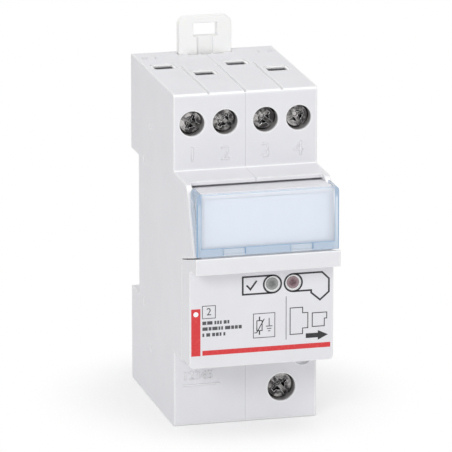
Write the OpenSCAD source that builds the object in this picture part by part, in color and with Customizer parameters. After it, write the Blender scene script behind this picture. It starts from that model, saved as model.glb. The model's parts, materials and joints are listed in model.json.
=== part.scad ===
// Two-module surge arrester for a 35 mm top-hat rail, with a plug-in cartridge.
// Millimetres. X to the right seen from the front, -Y to the front, +Z up.
// The origin lies on the rail seat, at the middle of the rail.

/* [Case] */
// Width of the case, two modules
case_w = 35.6; // [34.8:0.1:38]
// Depth of the case from its rear feet to the terminal faces
case_d = 44; // [43:0.5:50]
// Thickness of the outer walls
wall = 1.5; // [1.3:0.1:1.6]
// Thickness of the cheeks beside the cartridge
cheek_t = 1.4; // [1.2:0.1:1.6]
// Radius of the front edges above and below the terminals
edge_r = 1; // [0.5:0.1:1.5]
// Height of the raised front section
nose_h = 45; // [44:0.5:46]
// Height of the terminal sections above and below the raised front
terminal_h = 19; // [18.5:0.5:22]
// How far the lower front edge of the side walls stands out in front of the terminal faces
nose_out = 8; // [7:0.5:10]
// How far the upper front corner of the cheeks stands out in front of the side walls
cheek_out = 4.8; // [4:0.2:6]
// How far the shelf between the cheeks stands out in front of the side walls
shelf_out = 2; // [1:0.1:2.5]
// Lean of the cheeks' front edge, depth gained for each millimetre of height
cheek_lean_share = 0.45; // [0.35:0.05:0.5]
// Radius at the top of the cheeks' front edge
cheek_r = 3; // [1:0.5:4]

/* [Rail seat] */
// Width of the rail that the case fits
rail_w = 35; // [34.8:0.1:35.2]
// Thickness of the rail's flange
rail_t = 1; // [0.8:0.1:1.3]
// Free play of the rail in its recess, above and below together
rail_play = 0.5; // [0.3:0.1:0.8]
// Depth of the rail recess
recess_d = 8; // [7.8:0.1:9]
// How far a hook reaches over the rail's flange
hook_reach = 1.2; // [0.8:0.1:1.6]
// Thickness of a hook
hook_t = 2; // [1.6:0.1:2.4]
// Width of each fixed hook
hook_w = 8; // [6:0.5:9]
// Distance of each fixed hook from the middle
hook_x = 9.5; // [8:0.5:11]

/* [Rail clip] */
// Width of the clip
clip_w = 13.3; // [12:0.1:15]
// Thickness of the clip
clip_t = 2.2; // [1.8:0.1:2.4]
// How far the pulled clip stands above the case
clip_rise = 9.3; // [8.5:0.1:9.6]
// Travel of the clip from pulled to locked
clip_travel = 3; // [2.8:0.1:3.4]
// Height of the clip's nose
clip_nose_h = 3.2; // [2.8:0.1:4]
// Width of the window for a screwdriver
clip_window_w = 6; // [5.5:0.1:7]
// Height of the window for a screwdriver
clip_window_h = 3.4; // [3:0.1:3.6]
// Distance of the window below the clip's top
clip_window_drop = 1.6; // [1.4:0.1:2]
// Radius of the clip's top corners
clip_r = 2; // [1:0.5:2.5]
// Width of the three notches in front of the clip
notch_w = 2.6; // [2:0.1:3]
// Thickness of the ribs between the notches
notch_rib = 0.6; // [0.5:0.1:1]
// How far the notches reach in front of the clip
notch_l = 1.2; // [0.8:0.1:1.3]
// Depth of the notches
notch_depth = 3; // [2:0.2:4]

/* [Supply terminals] */
// How far each terminal pair lies outside the middle of its shell
pair_shift = 0.2; // [0:0.05:0.4]
// Distance between the two screws of a pair
screw_pitch = 8.2; // [8.1:0.1:8.6]
// Distance of the screws below the top of the case
screw_drop = 7.4; // [7.2:0.1:8.5]
// Diameter of the screw holes
screw_hole_d = 6.2; // [6:0.1:6.4]
// Diameter of the screw shanks
screw_d = 3.5; // [3:0.1:4]
// Depth of the heads behind the terminal face
screw_sink = 2.2; // [2:0.1:2.8]
// Height of the screw heads
screw_head_h = 2.6; // [2.2:0.1:2.8]
// Width of a wire entry
entry_w = 4.8; // [4.6:0.1:5]
// Depth of a wire entry
entry_l = 4.6; // [4.4:0.1:5]
// Depth of the wire space in an open clamp
wire_l = 5.2; // [5:0.1:5.4]
// Thickness of the case over the wire spaces
roof_t = 0.8; // [0.7:0.1:1]
// Distance of the rear row of wire spaces from the rear feet
rear_row_d = 15; // [14.8:0.1:15.8]
// Distance between the rear and the front row of wire spaces
row_pitch = 8.2; // [8:0.1:8.6]
// Margin of the sunk mouth beside a wire entry
mouth_side = 0.6; // [0.4:0.1:0.8]
// Margin of the sunk mouth in front of a wire entry
mouth_front = 0.2; // [0.1:0.1:0.4]
// Margin of the sunk mouth behind a wire entry
mouth_back = 0.5; // [0.3:0.1:1]
// Depth of the sunk mouth
mouth_depth = 0.3; // [0.2:0.05:0.4]
// Corner radius of the sunk mouth
mouth_r = 1.2; // [0.8:0.1:1.5]

/* [Clamps] */
// Height of a clamp
cage_h = 7.2; // [6.8:0.1:7.4]
// Width of a clamp over its sides
cage_w = 6.2; // [6:0.1:6.4]
// Thickness of a clamp's sides and back
cage_t = 0.8; // [0.7:0.1:0.9]
// Thickness of a clamp's threaded front wall
nut_t = 2.4; // [2.2:0.1:2.6]

/* [Earth terminal] */
// Height of the earth screw above the bottom of the case
earth_rise = 8.15; // [8:0.05:8.6]
// Diameter of the earth screw's hole
earth_hole_d = 7; // [6.9:0.1:7.2]
// Diameter of the earth screw's shank
earth_d = 4.6; // [4:0.1:5]
// Width of the earth wire's entry
earth_entry_w = 6.2; // [6:0.1:6.4]
// Depth of the earth wire's entry
earth_entry_l = 5.6; // [5.4:0.1:6]
// Depth of the wire space in the open earth clamp
earth_wire_l = 6.2; // [6:0.1:6.4]
// Distance of the earth wire's space behind the terminal face
earth_row_d = 20; // [19.5:0.5:21]
// Height of the earth clamp
earth_cage_h = 7.2; // [7:0.1:7.4]
// Width of the earth clamp over its sides
earth_cage_w = 8.2; // [8:0.1:8.4]

/* [Busbars and contacts] */
// Thickness of the busbars
bus_t = 1; // [0.8:0.1:1.2]
// Width of the busbars
bus_w = 2.4; // [2:0.1:2.6]
// Width of the tongue that a wire is clamped on
tongue_w = 4.2; // [3.8:0.1:4.4]
// How far the contacts lie outside the middle of the terminal pairs
contact_shift = 0.5; // [0.1:0.1:0.9]
// Distance of the contacts above and below the middle
contact_z = 12; // [11:0.5:13]
// Height of the contacts
contact_h = 6; // [5:0.2:6.4]
// Thickness of the cartridge's blades
blade_t = 1; // [0.8:0.1:1.2]
// Thickness of a contact's leaves
leaf_t = 0.6; // [0.5:0.1:0.7]

/* [Cartridge] */
// Depth from the rear feet to the back of the cartridge
cartridge_rear_d = 22; // [21.8:0.1:23]
// How far the printed face stands out in front of the side walls
face_out = 7.5; // [7:0.1:8.5]
// How far the grip lip stands out in front of the printed face
lip_out = 6.5; // [6.1:0.1:7.5]
// Height of the grip lip
lip_h = 4.2; // [3.8:0.1:4.6]
// Height of the lip's top above the middle
lip_top = 6.6; // [6.2:0.1:7]
// Drop of the seam from the lip's front to the side walls
seam_drop_share = 0.27; // [0.2:0.01:0.3]
// Wall of the cartridge
cartridge_wall = 1.2; // [1:0.1:1.3]
// Play between the cartridge and the case
play = 0.2; // [0.15:0.05:0.3]
// Gap that shows along a seam
seam = 0.3; // [0.25:0.05:0.5]
// Gap under the shelf's edge, over the cartridge's top
slit = 0.55; // [0.45:0.05:0.65]
// Fall of the cartridge's top towards the rear, for each millimetre of depth
top_fall_share = 0.125; // [0.1:0.005:0.125]
// Depth that the gap runs in under the shelf's edge
slit_d = 1.5; // [1:0.1:1.6]
// Radius of the lower corners of the printed face
face_r = 1.2; // [0.6:0.2:2]

/* [Status lamps] */
// Distance of the green lamp from the middle
green_x = 2.7; // [2:0.05:3]
// Distance between the two lamps
lamp_pitch = 5.15; // [4.6:0.05:6]
// Distance of the lamps below the middle
lamp_drop = 2.6; // [2.2:0.1:3.2]
// Diameter of a lens
lens_d = 3; // [2.6:0.1:3.2]
// Diameter of the sunk ring round a lens
ring_d = 3.9; // [3.6:0.1:4.2]
// Depth of the sunk ring
ring_depth = 0.4; // [0.2:0.1:0.6]
// Diameter of a lamp
lamp_d = 3; // [2.6:0.1:3.2]

/* [Label flap] */
// Distance of the flap's sides from the case's sides
flap_inset = 0.4; // [0.2:0.05:0.6]
// Thickness of the flap
flap_t = 1; // [0.8:0.1:1]
// Depth of the flap's sides at the top
flap_side_d = 6.5; // [5:0.5:7]
// Radius of the flap's top corners
flap_r = 1; // [0.6:0.1:1.2]
// Diameter of the flap's hinge pins
flap_pin_d = 1.6; // [1.2:0.1:1.7]
// Distance of the hinge from the cartridge's top and front
flap_pin_inset = 1.6; // [1.5:0.1:1.8]
// Distance of the label's ends from the sides of the block behind it
card_inset = 0.8; // [0.7:0.1:2]
// Distance of the label below the top of the block behind it
card_drop = 1.7; // [1.6:0.1:3]
// Thickness of the label
card_t = 0.2; // [0.15:0.05:0.3]
// Width of each finger recess in the flap's lower edge
catch_w = 5.5; // [4:0.5:7]
// Distance of each finger recess from the middle
catch_x = 8.3; // [7:0.1:9]

/* [Surge parts] */
// Height of the varistor blocks
varistor_h = 20; // [16:0.5:22]
// Room between the lamp board and the varistors
varistor_room = 6.25; // [5:0.25:8]
// Thickness of a varistor block
varistor_t = 5; // [4:0.5:5.5]
// Corner radius of a varistor block
varistor_r = 2.5; // [1:0.5:4]
// Thickness of the plate between the varistors
plate_t = 1; // [0.8:0.1:1.2]
// Distance of the gas tube's axis from the back of the cartridge
tube_depth = 19; // [18:0.25:20]
// Diameter of the gas tube
tube_d = 8; // [6:0.5:8.5]
// Length of the gas tube
tube_l = 6.4; // [5:0.1:6.6]
// Thickness of the release strips and the earth link
strip_t = 0.5; // [0.4:0.1:0.7]
// Width of the release strips
strip_w = 4; // [3:0.5:5]
// Thickness of the lamp board
board_t = 1.2; // [1:0.1:1.6]
// Distance of the lamp board's sides from the cartridge's walls
board_inset = 2.5; // [0.5:0.1:3]
// Height of the lamp board
board_h = 12; // [10:0.5:14]

/* [Hidden] */
$fn = 48;

// Overrun of a cut past the face it opens
over = 1;
// Gap round a fixed piece in its slot
slot_gap = 0.1;
// Gap between a moving piece and the case
free_gap = 0.3;
// Radial gap of a running fit
run_gap = 0.05;
// Radial gap of a pin in its hole
pin_gap = 0.02;
// Radial gap of a screw head in its hole
head_gap = 0.08;
// Segments in each rounded corner of an outline
corner_steps = 6;
// Width and depth of the grooves on the top face
groove_w = 0.6;
groove_depth = 0.4;
// Distance of the grooves' inner end from the rear feet
groove_end_d = 16;
// Radius and depth of the round recess beside the earth screw, and its place
dimple_r = 2.25;
dimple_depth = 1;
dimple_inset = 3.4;
dimple_drop = 3.3;
// Radius of the pins that hold the shells together, and how deep their ends lie
pin_r = 0.8;
pin_sink = 0.15;
// Distance of the two middle pins in front of the rail seat, behind its wall
seat_pin_d = 4;
// Width and depth of the drive slots in the screw heads
drive_w = 1;
drive_depth = 1.5;
// Radius and depth of the hollow where the slots cross
drive_r = 1.4;
drive_hollow = 1.8;
// Length of the cross slot as a share of the head
drive_length_share = 0.62;
// How each screw was left turned
turned = [28, 34, 40, 64];
earth_turned = 52;
// Wall between a screw head and its clamp
shoulder_t = 1.6;
// Length of the taper at a blade's tip
blade_taper = 1.2;
// Height that a blade is less than its contact
blade_trim = 0.8;
// Gap between a blade and each leaf
blade_gap = 0.15;
// Depth of the finger recesses in the flap
catch_depth = 0.4;
catch_h = 1.4;
// Radius of the bosses that carry the lamp board
boss_r = 1.2;
// Depth of the pocket for the label
card_pocket = 0.3;
// Height of the cartridge's base rim under the label
card_rise = 2.4;
// Radius of the flap's and the lip's small edges
small_r = 0.4;

half_w = case_w / 2;
nose_z = nose_h / 2;
top_z = nose_z + terminal_h;
rear_y = recess_d;
terminal_y = rear_y - case_d;
side_wall_y = terminal_y - nose_out;
cheek_top_y = side_wall_y - cheek_out;
shelf_y = side_wall_y - shelf_out;
face_y = side_wall_y - face_out;
lip_y = face_y - lip_out;
box_rear_y = rear_y - cartridge_rear_d;
recess_z = (rail_w + rail_play) / 2;
pocket_x = half_w - cheek_t;
pocket_z = nose_z - wall;
pocket_rear_y = box_rear_y + free_gap;
seat_wall_y = -wall;
contact_front_y = pocket_rear_y + wall;

// Line of the cheeks' front edge and of the seam below it
function cheek_y(z) = cheek_top_y - (nose_z - z) * cheek_lean_share;
seam_front_z = lip_top;
function seam_z(y) = seam_front_z + (lip_y - y) * seam_drop_share;

screw_z = top_z - screw_drop;
screw_head_d = screw_hole_d - 2 * head_gap;
earth_head_d = earth_hole_d - 2 * head_gap;
pair_x = half_w / 2 + pair_shift;
screw_x = [
    -pair_x - screw_pitch / 2, -pair_x + screw_pitch / 2,
    pair_x - screw_pitch / 2, pair_x + screw_pitch / 2
];
earth_x = pair_x;
contact_x = pair_x + contact_shift;
rear_row_y = rear_y - rear_row_d;
front_row_y = rear_row_y - row_pitch;
// Wire places of the four clamps: the neutral pair lies in the rear row, the live pair in the front row
wire_y = [rear_row_y, front_row_y, rear_row_y, front_row_y];
chamber_w = cage_w + 2 * free_gap;
chamber_floor_z = screw_z - cage_h / 2 - 1.5 * free_gap;
head_y = terminal_y + screw_sink;
shoulder_y = head_y + screw_head_h + play;
chamber_front_y = shoulder_y + shoulder_t;
bus_z = chamber_floor_z - bus_w - bus_t;

earth_z = -top_z + earth_rise;
earth_wire_y = terminal_y + earth_row_d;
earth_chamber_w = earth_cage_w + 2 * free_gap;
earth_roof_z = earth_z + earth_cage_h / 2 + free_gap;
earth_bus_z = -bus_z + bus_t;

pin_places = [
    [contact_front_y - play, chamber_floor_z - 2 * pin_r],
    [seat_wall_y - seat_pin_d, recess_z + pin_r / 2],
    [seat_wall_y - seat_pin_d, -recess_z - pin_r / 2],
    [earth_wire_y + earth_wire_l / 2 + cage_t - play, earth_roof_z + 1.5 * pin_r]
];

leaf_x = blade_t / 2 + blade_gap + leaf_t;
leg_w = bus_w;
box_x = pocket_x - play;
box_z = pocket_z - play;
box_front_y = side_wall_y - seam;
block_front_y = lip_y + play + flap_t + play;
block_top_z = nose_z - play;
slit_rear_y = shelf_y + slit_d;
function block_top(y) = block_top_z - (y - block_front_y) * top_fall_share;
flap_pin_y = block_front_y + flap_pin_inset;
flap_pin_z = block_top_z - flap_pin_inset;
flap_w = case_w - 2 * flap_inset;
flap_bottom_z = lip_top + free_gap;
cavity_x = box_x - cartridge_wall;
cavity_z = box_z - cartridge_wall;
card_w = 2 * (box_x - card_inset);
card_z = lip_top + card_rise;
card_h = block_top_z - card_drop - card_z;
board_w = 2 * (cavity_x - board_inset);
lamp_z = -lamp_drop;
lamp_x = [green_x, green_x + lamp_pitch];
boss_x = lamp_x[1] + lamp_d / 2 + boss_r + free_gap;
lamp_front_y = face_y + wall + cartridge_wall;
board_y = lamp_front_y + 2 * board_t;
varistor_rear_y = box_rear_y - cartridge_wall - 3 * varistor_r / 2;
varistor_front_y = board_y + board_t + varistor_room;
blade_half_h = (contact_h - blade_trim) / 2;
blade_inner_y = box_rear_y - cartridge_wall - 6 * blade_t;
blade_end_y = seat_wall_y - 3 * leaf_t - blade_t;
plate_top_z = contact_z + blade_t;
tube_y = box_rear_y - tube_depth;
tube_z = plate_top_z - tube_d / 2 - blade_t;

// Outline with rounded corners: each point is [x, y, radius]
function corner(p, q, r) = let (
    a = [p[0] - q[0], p[1] - q[1]] / norm([p[0] - q[0], p[1] - q[1]]),
    b = [r[0] - q[0], r[1] - q[1]] / norm([r[0] - q[0], r[1] - q[1]]),
    half = acos(a * b) / 2,
    middle = [q[0], q[1]] + (a + b) / norm(a + b) * q[2] / sin(half),
    from = [q[0], q[1]] + a * q[2] / tan(half) - middle,
    to = [q[0], q[1]] + b * q[2] / tan(half) - middle,
    start = atan2(from[1], from[0]),
    turn = atan2(from[0] * to[1] - from[1] * to[0], from * to)
) [
    for (i = [0:corner_steps]) let (a = start + turn * i / corner_steps) middle + q[2] * [cos(a), sin(a)]
];
function rounded(points) = [
    for (i = [0:len(points) - 1]) let (
        p = points[(i + len(points) - 1) % len(points)],
        q = points[i],
        r = points[(i + 1) % len(points)]
    ) each (q[2] > 0 ? corner(p, q, r) : [[q[0], q[1]]])
];

// Extrudes a side outline, drawn as [y, z], from one x to another
module across(from, to) translate([from, 0, 0]) rotate([90, 0, 90]) linear_extrude(to - from) children();
// Extrudes a front outline, drawn as [x, z], from one y to another
module facing(from, to) translate([0, to, 0]) rotate([90, 0, 0]) linear_extrude(to - from) children();
// Box between two corners
module block(low, high) translate(low) cube(high - low);
// Round bar along Y, from one y to another
module bar_y(x, z, r, from, to) translate([x, from, z]) rotate([-90, 0, 0]) cylinder(r = r, h = to - from);
// Round bar along X, from one x to another
module bar_x(y, z, r, from, to) translate([from, y, z]) rotate([0, 90, 0]) cylinder(r = r, h = to - from);

// Side outline of the case, with its rail recess and its cheeks
module case_outline() polygon(rounded([
    [rear_y, -top_z, edge_r / 2],
    [terminal_y, -top_z, edge_r],
    [terminal_y, -nose_z, 0],
    [side_wall_y, -nose_z, edge_r / 2],
    [side_wall_y, seam_z(side_wall_y) + seam, 0],
    [cheek_y(seam_front_z), seam_z(cheek_y(seam_front_z)) + seam, 0],
    [cheek_y(nose_z), nose_z, cheek_r],
    [terminal_y, nose_z, edge_r / 2],
    [terminal_y, top_z, edge_r],
    [rear_y, top_z, edge_r / 2],
    [rear_y, recess_z, 0],
    [0, recess_z, 0],
    [0, -recess_z, 0],
    [rear_y, -recess_z, 0]
]));

// Wire entry through a face at z = 0, in a sunk mouth; y is the entry's front edge
module mouth(x, y, w, l) {
    side = w / 2 + mouth_side;
    translate([0, 0, -mouth_depth]) linear_extrude(mouth_depth + over) polygon(rounded([
        [x - side, y - mouth_front, mouth_r],
        [x + side, y - mouth_front, mouth_r],
        [x + side, y + l + mouth_back, mouth_r],
        [x - side, y + l + mouth_back, mouth_r]
    ]));
    block([x - w / 2, y, -roof_t - over], [x + w / 2, y + l, 0]);
}

// Room for one clamp, its screw and its wire
module terminal_room(i) {
    x = screw_x[i];
    y = wire_y[i];
    w = chamber_w / 2;
    block(
        [x - w, chamber_front_y, chamber_floor_z],
        [x + w, y + wire_l / 2 + cage_t + free_gap, top_z - roof_t]
    );
    bar_y(x, screw_z, screw_hole_d / 2, terminal_y - over, shoulder_y);
    bar_y(x, screw_z, screw_d / 2 + free_gap, shoulder_y - over, chamber_front_y + over);
    translate([0, 0, top_z]) mouth(x, y - wire_l / 2, entry_w, entry_l);
}

// Room for the earth clamp, its screw and its wire
module earth_room() {
    w = earth_chamber_w / 2;
    block(
        [earth_x - w, chamber_front_y, -top_z + roof_t],
        [earth_x + w, earth_wire_y + earth_wire_l / 2 + cage_t + free_gap, earth_roof_z]
    );
    bar_y(earth_x, earth_z, earth_hole_d / 2, terminal_y - over, shoulder_y);
    bar_y(earth_x, earth_z, earth_d / 2 + free_gap, shoulder_y - over, chamber_front_y + over);
    translate([0, 0, -top_z]) mirror([0, 0, 1])
        mouth(earth_x, earth_wire_y - earth_wire_l / 2, earth_entry_w, earth_entry_l);
}

// Pocket that takes the cartridge, open at the front
module cartridge_pocket() {
    block([-pocket_x, lip_y - over, -pocket_z], [pocket_x, pocket_rear_y, pocket_z]);
    block([-pocket_x, lip_y - over, 0], [pocket_x, shelf_y, nose_z + over]);
    // Gap that runs in under the shelf's edge
    block([-pocket_x, lip_y - over, 0], [pocket_x, slit_rear_y, block_top(shelf_y) + slit]);
}

// Room behind the pocket for the spring contacts, with slots for the blades
module contact_room() {
    block(
        [-pocket_x + wall, contact_front_y, -contact_z - contact_h / 2 - blade_t],
        [pocket_x - wall, seat_wall_y, contact_z + contact_h / 2 + blade_t]
    );
    for (place = [[-contact_x, contact_z], [contact_x, contact_z], [contact_x, -contact_z]])
        block(
            [place[0] - blade_t, pocket_rear_y - over, place[1] - contact_h / 2],
            [place[0] + blade_t, contact_front_y + over, place[1] + contact_h / 2]
        );
}

// Channel for the rail clip, with the slot that its nose travels in
module clip_channel() {
    x = clip_w / 2 + play;
    block([-x, clip_y - play, recess_z - over], [x, clip_y + clip_t + play, top_z + over]);
    block([-x, rail_t + play, recess_z - over], [x, clip_y, clip_nose_z + clip_nose_h + clip_travel]);
    // Notches that show in front of the clip
    for (middle = [-notch_w - notch_rib, 0, notch_w + notch_rib])
        block(
            [middle - notch_w / 2, clip_y - notch_l, top_z - notch_depth],
            [middle + notch_w / 2, clip_y, top_z + over]
        );
}

// Slots for the busbars and the earth strip
module busbar_slots() {
    widened(slot_gap) neutral_busbar_form();
    widened(slot_gap) live_busbar_form();
    widened(slot_gap) earth_strip_form();
}

// The whole case as one form, before it is parted in the middle
module case_half(side) {
    from = side < 0 ? -half_w : 0;
    difference() {
        union() {
            across(from, from + half_w) case_outline();
            block(
                [side * hook_x - hook_w / 2, rail_t + free_gap, -recess_z - over],
                [side * hook_x + hook_w / 2, rail_t + free_gap + hook_t, -rail_w / 2 + hook_reach]
            );
        }
        cartridge_pocket();
        contact_room();
        clip_channel();
        for (i = side < 0 ? [0, 1] : [2, 3]) terminal_room(i);
        if (side > 0) earth_room();
        busbar_slots();
        for (place = pin_places) bar_x(place[0], place[1], pin_r + pin_gap, -half_w - over, half_w + over);
        for (x = [-pair_x, 0, pair_x])
            block(
                [x - groove_w / 2, terminal_y - over, top_z - groove_depth],
                [x + groove_w / 2, rear_y - groove_end_d, top_z + over]
            );
        bar_y(
            half_w - dimple_inset, -nose_z - dimple_drop, dimple_r,
            terminal_y - over, terminal_y + dimple_depth
        );
    }
}

module left_shell() color("whitesmoke") case_half(-1);

module right_shell() color("whitesmoke") case_half(1);

// Four pins that run through both shells and hold them together
module case_pins() color("gainsboro")
    for (place = pin_places) bar_x(place[0], place[1], pin_r, -half_w + pin_sink, half_w - pin_sink);

clip_y = rail_t + free_gap + hook_t + 2 * free_gap;
clip_nose_z = recess_z + clip_travel - hook_reach - rail_play / 2;
clip_top_z = top_z + clip_rise;

// White slider with a nose that locks behind the rail
module rail_clip() color("white") {
    difference() {
        union() {
            facing(clip_y, clip_y + clip_t) polygon(rounded([
                [-clip_w / 2, clip_nose_z, 0],
                [clip_w / 2, clip_nose_z, 0],
                [clip_w / 2, clip_top_z, clip_r],
                [-clip_w / 2, clip_top_z, clip_r]
            ]));
            across(-clip_w / 2, clip_w / 2) polygon([
                [clip_y + small_r, clip_nose_z],
                [rail_t + free_gap + hook_t / 2, clip_nose_z],
                [rail_t + free_gap, clip_nose_z + hook_t / 4],
                [rail_t + free_gap, clip_nose_z + clip_nose_h / 2],
                [clip_y, clip_nose_z + clip_nose_h],
                [clip_y + small_r, clip_nose_z + clip_nose_h]
            ]);
        }
        block(
            [-clip_window_w / 2, clip_y - over, clip_top_z - clip_window_drop - clip_window_h],
            [clip_window_w / 2, clip_y + clip_t + over, clip_top_z - clip_window_drop]
        );
        // Shallow channel below the window
        block(
            [-clip_window_w / 3, clip_y - over, clip_nose_z + clip_nose_h],
            [clip_window_w / 3, clip_y + clip_t / 3, clip_top_z - clip_window_drop - clip_window_h + over]
        );
    }
}

// Grows a plate-like form by a gap on every side, as a slot round it
module widened(gap) for (x = [-gap, gap]) for (y = [-gap, gap]) for (z = [-gap, gap])
    translate([x, y, z]) children();

// Front face of the tongue that a supply wire is clamped on
function tongue_y(i) = wire_y[i] - wire_l / 2 - bus_t;

// Tongue of one terminal, down to the busbar
module tongue(i) block(
    [screw_x[i] - tongue_w / 2, tongue_y(i), bus_z],
    [screw_x[i] + tongue_w / 2, tongue_y(i) + bus_t, screw_z + cage_h / 2 + free_gap]
);

// Leg from a busbar down beside a contact
module leg(side) {
    near = side * (contact_x + leaf_x);
    far = side * (contact_x + leaf_x + leg_w);
    block(
        [min(near, far), tongue_y(0), contact_z - contact_h / 2],
        [max(near, far), tongue_y(0) + bus_t, bus_z]
    );
}

module neutral_busbar_form() {
    tongue(0);
    tongue(2);
    block([screw_x[0], tongue_y(0), bus_z], [screw_x[2] + tongue_w / 2, tongue_y(0) + bus_t, bus_z + bus_w]);
    leg(-1);
}

module live_busbar_form() {
    tongue(1);
    tongue(3);
    block([screw_x[1], tongue_y(1), bus_z], [screw_x[3] + tongue_w / 2, tongue_y(1) + bus_t, bus_z + bus_w]);
    block(
        [contact_x + leaf_x, tongue_y(1), bus_z - bus_t],
        [contact_x + leaf_x + leg_w, tongue_y(0) + bus_t, bus_z]
    );
    leg(1);
}

earth_tongue_y = earth_wire_y - earth_wire_l / 2 - bus_t;

module earth_strip_form() {
    block(
        [earth_x - tongue_w / 2, earth_tongue_y, earth_z - earth_cage_h / 2 - free_gap],
        [earth_x + tongue_w / 2, earth_tongue_y + bus_t, earth_bus_z + bus_t]
    );
    block(
        [earth_x, earth_tongue_y, earth_roof_z + 2 * free_gap],
        [contact_x + leaf_x + leg_w, earth_tongue_y + bus_t, earth_bus_z + bus_t]
    );
    block(
        [contact_x + leaf_x, earth_tongue_y, earth_bus_z],
        [contact_x + leaf_x + leg_w, tongue_y(0) + bus_t, earth_bus_z + bus_t]
    );
    block(
        [contact_x + leaf_x, tongue_y(0), earth_bus_z],
        [contact_x + leaf_x + leg_w, tongue_y(0) + bus_t, -contact_z + contact_h / 2]
    );
}

module neutral_busbar() color("peru") neutral_busbar_form();

module live_busbar() color("peru") live_busbar_form();

module earth_strip() color("peru") earth_strip_form();

// Spring contact: two leaves joined at the back
module contact(x, z) {
    for (side = [-1, 1])
        translate([x + side * (leaf_x - leaf_t / 2), 0, 0])
            block(
                [-leaf_t / 2, contact_front_y + play, z - contact_h / 2],
                [leaf_t / 2, seat_wall_y, z + contact_h / 2]
            );
    block(
        [x - leaf_x, seat_wall_y - leaf_t, z - contact_h / 2],
        [x + leaf_x, seat_wall_y, z + contact_h / 2]
    );
}

module neutral_contact() color("goldenrod") contact(-contact_x, contact_z);

module live_contact() color("goldenrod") contact(contact_x, contact_z);

module earth_contact() color("goldenrod") contact(contact_x, -contact_z);

// Captive screw: head with a cross slot, and a shank that bears on its tongue
module screw(x, z, tip_y, head_d, shank_d, angle) translate([x, 0, z]) rotate([0, angle, 0]) difference() {
    union() {
        bar_y(0, 0, head_d / 2, head_y + small_r, head_y + screw_head_h);
        translate([0, head_y, 0]) rotate([-90, 0, 0])
            cylinder(r1 = head_d / 2 - small_r, r2 = head_d / 2, h = small_r);
        bar_y(0, 0, shank_d / 2, head_y + screw_head_h - small_r, tip_y);
    }
    for (cut = [[head_d + over, drive_w], [drive_w, head_d * drive_length_share]])
        translate([-cut[0] / 2, head_y - over, -cut[1] / 2]) cube([cut[0], drive_depth + over, cut[1]]);
    translate([0, head_y, 0]) rotate([-90, 0, 0]) cylinder(r1 = drive_r, r2 = drive_r / 3, h = drive_hollow);
}

module terminal_screw(i) color("dimgray")
    screw(screw_x[i], screw_z, tongue_y(i) - run_gap, screw_head_d, screw_d, turned[i]);

module earth_screw() color("dimgray")
    screw(earth_x, earth_z, earth_tongue_y - run_gap, earth_head_d, earth_d, earth_turned);

// Rising clamp: a ring whose threaded front wall runs on the screw
module clamp_ring(x, z, front_y, wire_place, room_l, w, h, bore_d) difference() {
    block(
        [x - w / 2, front_y - play - nut_t, z - h / 2],
        [x + w / 2, wire_place + room_l / 2 + cage_t, z + h / 2]
    );
    block(
        [x - w / 2 + cage_t, front_y - play, z - h / 2 - over],
        [x + w / 2 - cage_t, wire_place + room_l / 2, z + h / 2 + over]
    );
    bar_y(x, z, bore_d / 2 + run_gap, front_y - nut_t - over, front_y);
}

module clamp(i) color("silver")
    clamp_ring(screw_x[i], screw_z, tongue_y(i), wire_y[i], wire_l, cage_w, cage_h, screw_d);

module earth_clamp() color("silver")
    clamp_ring(
        earth_x, earth_z, earth_tongue_y, earth_wire_y, earth_wire_l,
        earth_cage_w, earth_cage_h, earth_d
    );

// Lower front of the cartridge, from side to side, with its grip lip
module front_outline() polygon(rounded([
    [box_front_y, -nose_z, 0],
    [face_y, -nose_z, small_r],
    [face_y, lip_top - lip_h, lip_h / 3],
    [lip_y, lip_top - lip_h, small_r],
    [lip_y, seam_z(lip_y), small_r],
    [box_front_y, seam_z(box_front_y), 0]
]));

// Upper block between the cheeks, rounded about the flap's hinge
module block_outline() polygon(rounded([
    [box_front_y, -box_z + seam, 0],
    [face_y + wall, -box_z + seam, 0],
    [face_y + wall, lip_top - lip_h / 2, 0],
    [block_front_y, lip_top - lip_h / 2, 0],
    [block_front_y, block_top_z, flap_pin_inset],
    [slit_rear_y - seam, block_top(slit_rear_y - seam), 0],
    [slit_rear_y - seam, box_z, 0],
    [box_front_y, box_z, 0]
]));

// Room inside the front of the cartridge
module front_cavity_outline() polygon([
    [box_front_y + over, -cavity_z],
    [face_y + wall, -cavity_z],
    [face_y + wall, lip_top],
    [block_front_y + wall + card_pocket, lip_top],
    [block_front_y + wall + card_pocket, cavity_z],
    [box_front_y + over, cavity_z]
]);

module cartridge_front() color("whitesmoke") difference() {
    union() {
        difference() {
            union() {
                intersection() {
                    across(-half_w, half_w) front_outline();
                    facing(lip_y, side_wall_y) polygon(rounded([
                        [-half_w, -nose_z, face_r],
                        [half_w, -nose_z, face_r],
                        [half_w, nose_z, 0],
                        [-half_w, nose_z, 0]
                    ]));
                }
                across(-box_x, box_x) block_outline();
            }
            across(-cavity_x, cavity_x) front_cavity_outline();
        }
        for (side = [-1, 1]) bar_y(side * boss_x, lamp_z, boss_r, face_y + wall - small_r, board_y);
    }
    for (x = lamp_x) {
        bar_y(x, lamp_z, lens_d / 2 + pin_gap, face_y - over, lamp_front_y + over);
        bar_y(x, lamp_z, ring_d / 2, face_y - over, face_y + ring_depth);
    }
    for (side = [0, 1]) mirror([side, 0, 0])
        bar_x(flap_pin_y, flap_pin_z, flap_pin_d / 2 + run_gap, cavity_x - over / 2, box_x + over);
    block(
        [-card_w / 2 - slot_gap, block_front_y - over, card_z - slot_gap],
        [card_w / 2 + slot_gap, block_front_y + card_pocket, card_z + card_h + slot_gap]
    );
}

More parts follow.
